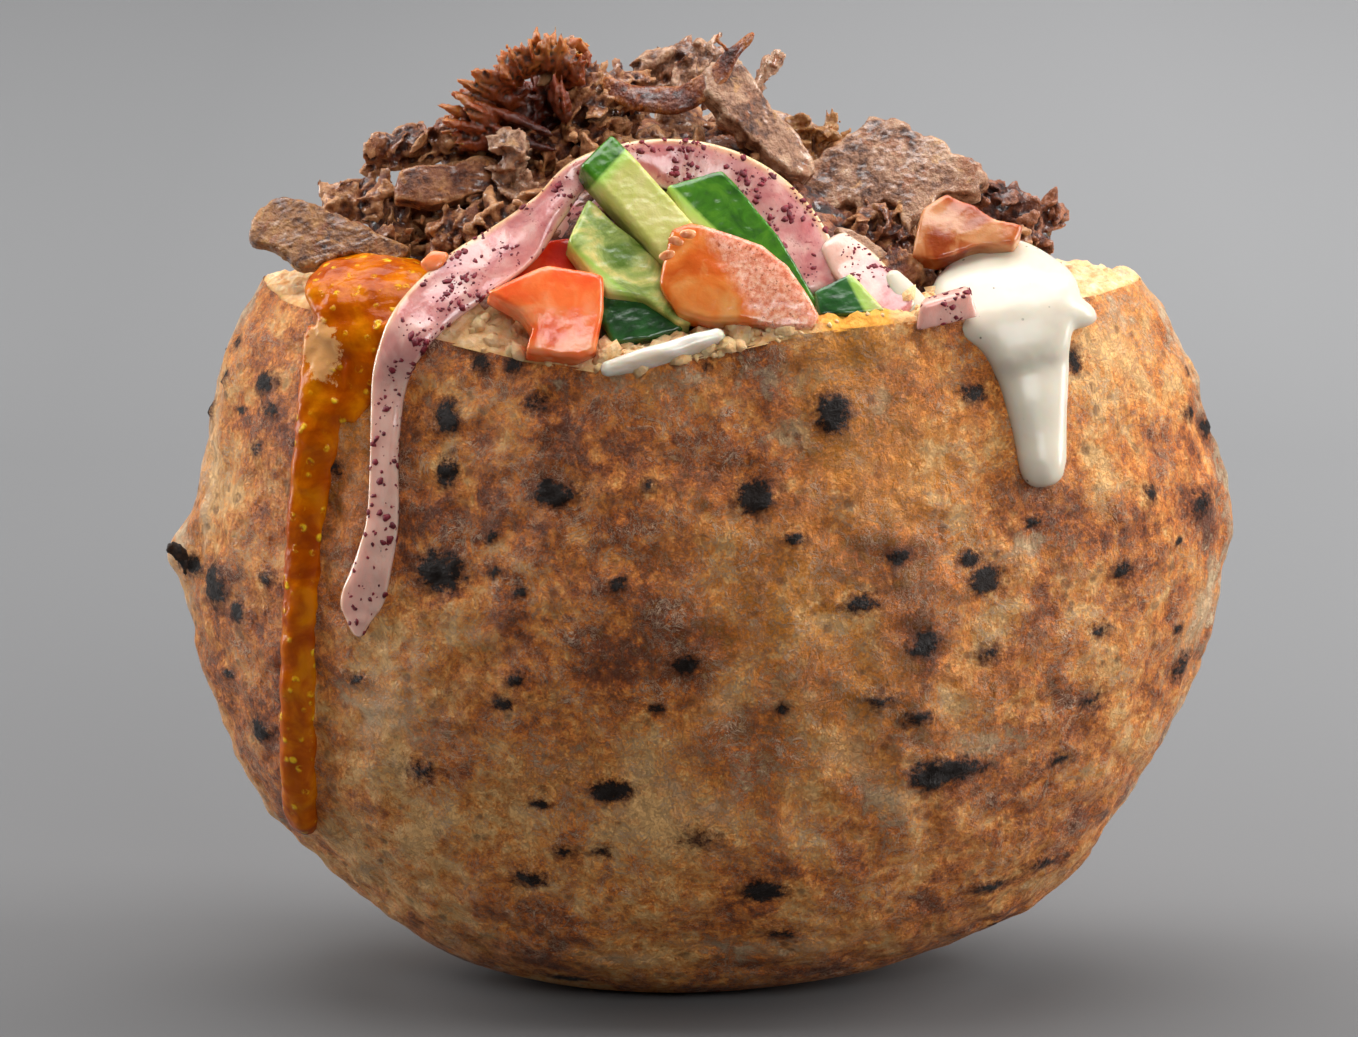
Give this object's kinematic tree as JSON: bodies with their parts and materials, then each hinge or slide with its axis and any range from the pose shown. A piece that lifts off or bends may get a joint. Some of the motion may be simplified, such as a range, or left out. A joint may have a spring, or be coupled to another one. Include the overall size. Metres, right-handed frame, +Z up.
{
  "type": "doner kebab sandwich half",
  "caption": "Pita pocket with its top cut off, standing upright, heaped with shaved doner meat, pickled onion, cucumber and tomato, with two sauces running over its rim.",
  "frame": {"origin": "on the floor, under the middle of the sandwich's box", "axes": "+X the sandwich's right, along its length; -Y its front, the face that the sauces run down; +Z up"},
  "size_m": [0.1556, 0.0838, 0.1426],
  "materials": {
    "bread_crust": "baked flatbread: toasted brown with pale patches, freckles and char spots; pale crumb at the cut",
    "meat_shaved": "roast shaved meat, grey-brown, fibrous and moist",
    "meat_crisp": "dark crisp roast meat, shiny with fat",
    "meat_fatty": "amber-brown fatty roast meat, a little translucent",
    "onion_pickled": "pink pickled onion, translucent, with dark red spice flecks",
    "onion_white": "white onion flesh, translucent",
    "cucumber": "cucumber: pale wet flesh and mottled dark green skin",
    "tomato": "cut tomato: glossy red-orange flesh and jelly",
    "mango_sauce": "thick amber sauce with yellow specks, glossy",
    "sesame_sauce": "thick off-white sesame sauce with fine dark specks, glossy"
  },
  "bodies": {
    "root": {"bread": "bread_crust", "cucumber_piece_low": "cucumber", "cucumber_piece_right": "cucumber", "cucumber_stick": "cucumber", "cucumber_wedge_dark": "cucumber", "cucumber_wedge_left": "cucumber", "mango_sauce": "mango_sauce", "meat_bit_back": "meat_shaved", "meat_chunk_back": "meat_shaved", "meat_chunk_top": "meat_shaved", "meat_crisp_right": "meat_crisp", "meat_frill": "meat_fatty", "meat_heap": "meat_shaved", "meat_leaf_left": "meat_shaved", "meat_slab_left": "meat_shaved", "meat_slice_back_left": "meat_shaved", "meat_slice_back_right": "meat_shaved", "meat_slice_long": "meat_shaved", "meat_slice_right": "meat_shaved", "meat_slice_small": "meat_shaved", "meat_strip_crisp": "meat_crisp", "onion_dice": "onion_pickled", "onion_sliver": "onion_white", "onion_strip_back": "onion_pickled", "onion_strip_long": "onion_pickled", "onion_strip_right": "onion_pickled", "sesame_sauce": "sesame_sauce", "sesame_smear": "sesame_sauce", "tomato_back": "tomato", "tomato_bit": "tomato", "tomato_front": "tomato", "tomato_right": "tomato", "tomato_seeded": "tomato"}
  },
  "joints": []
}
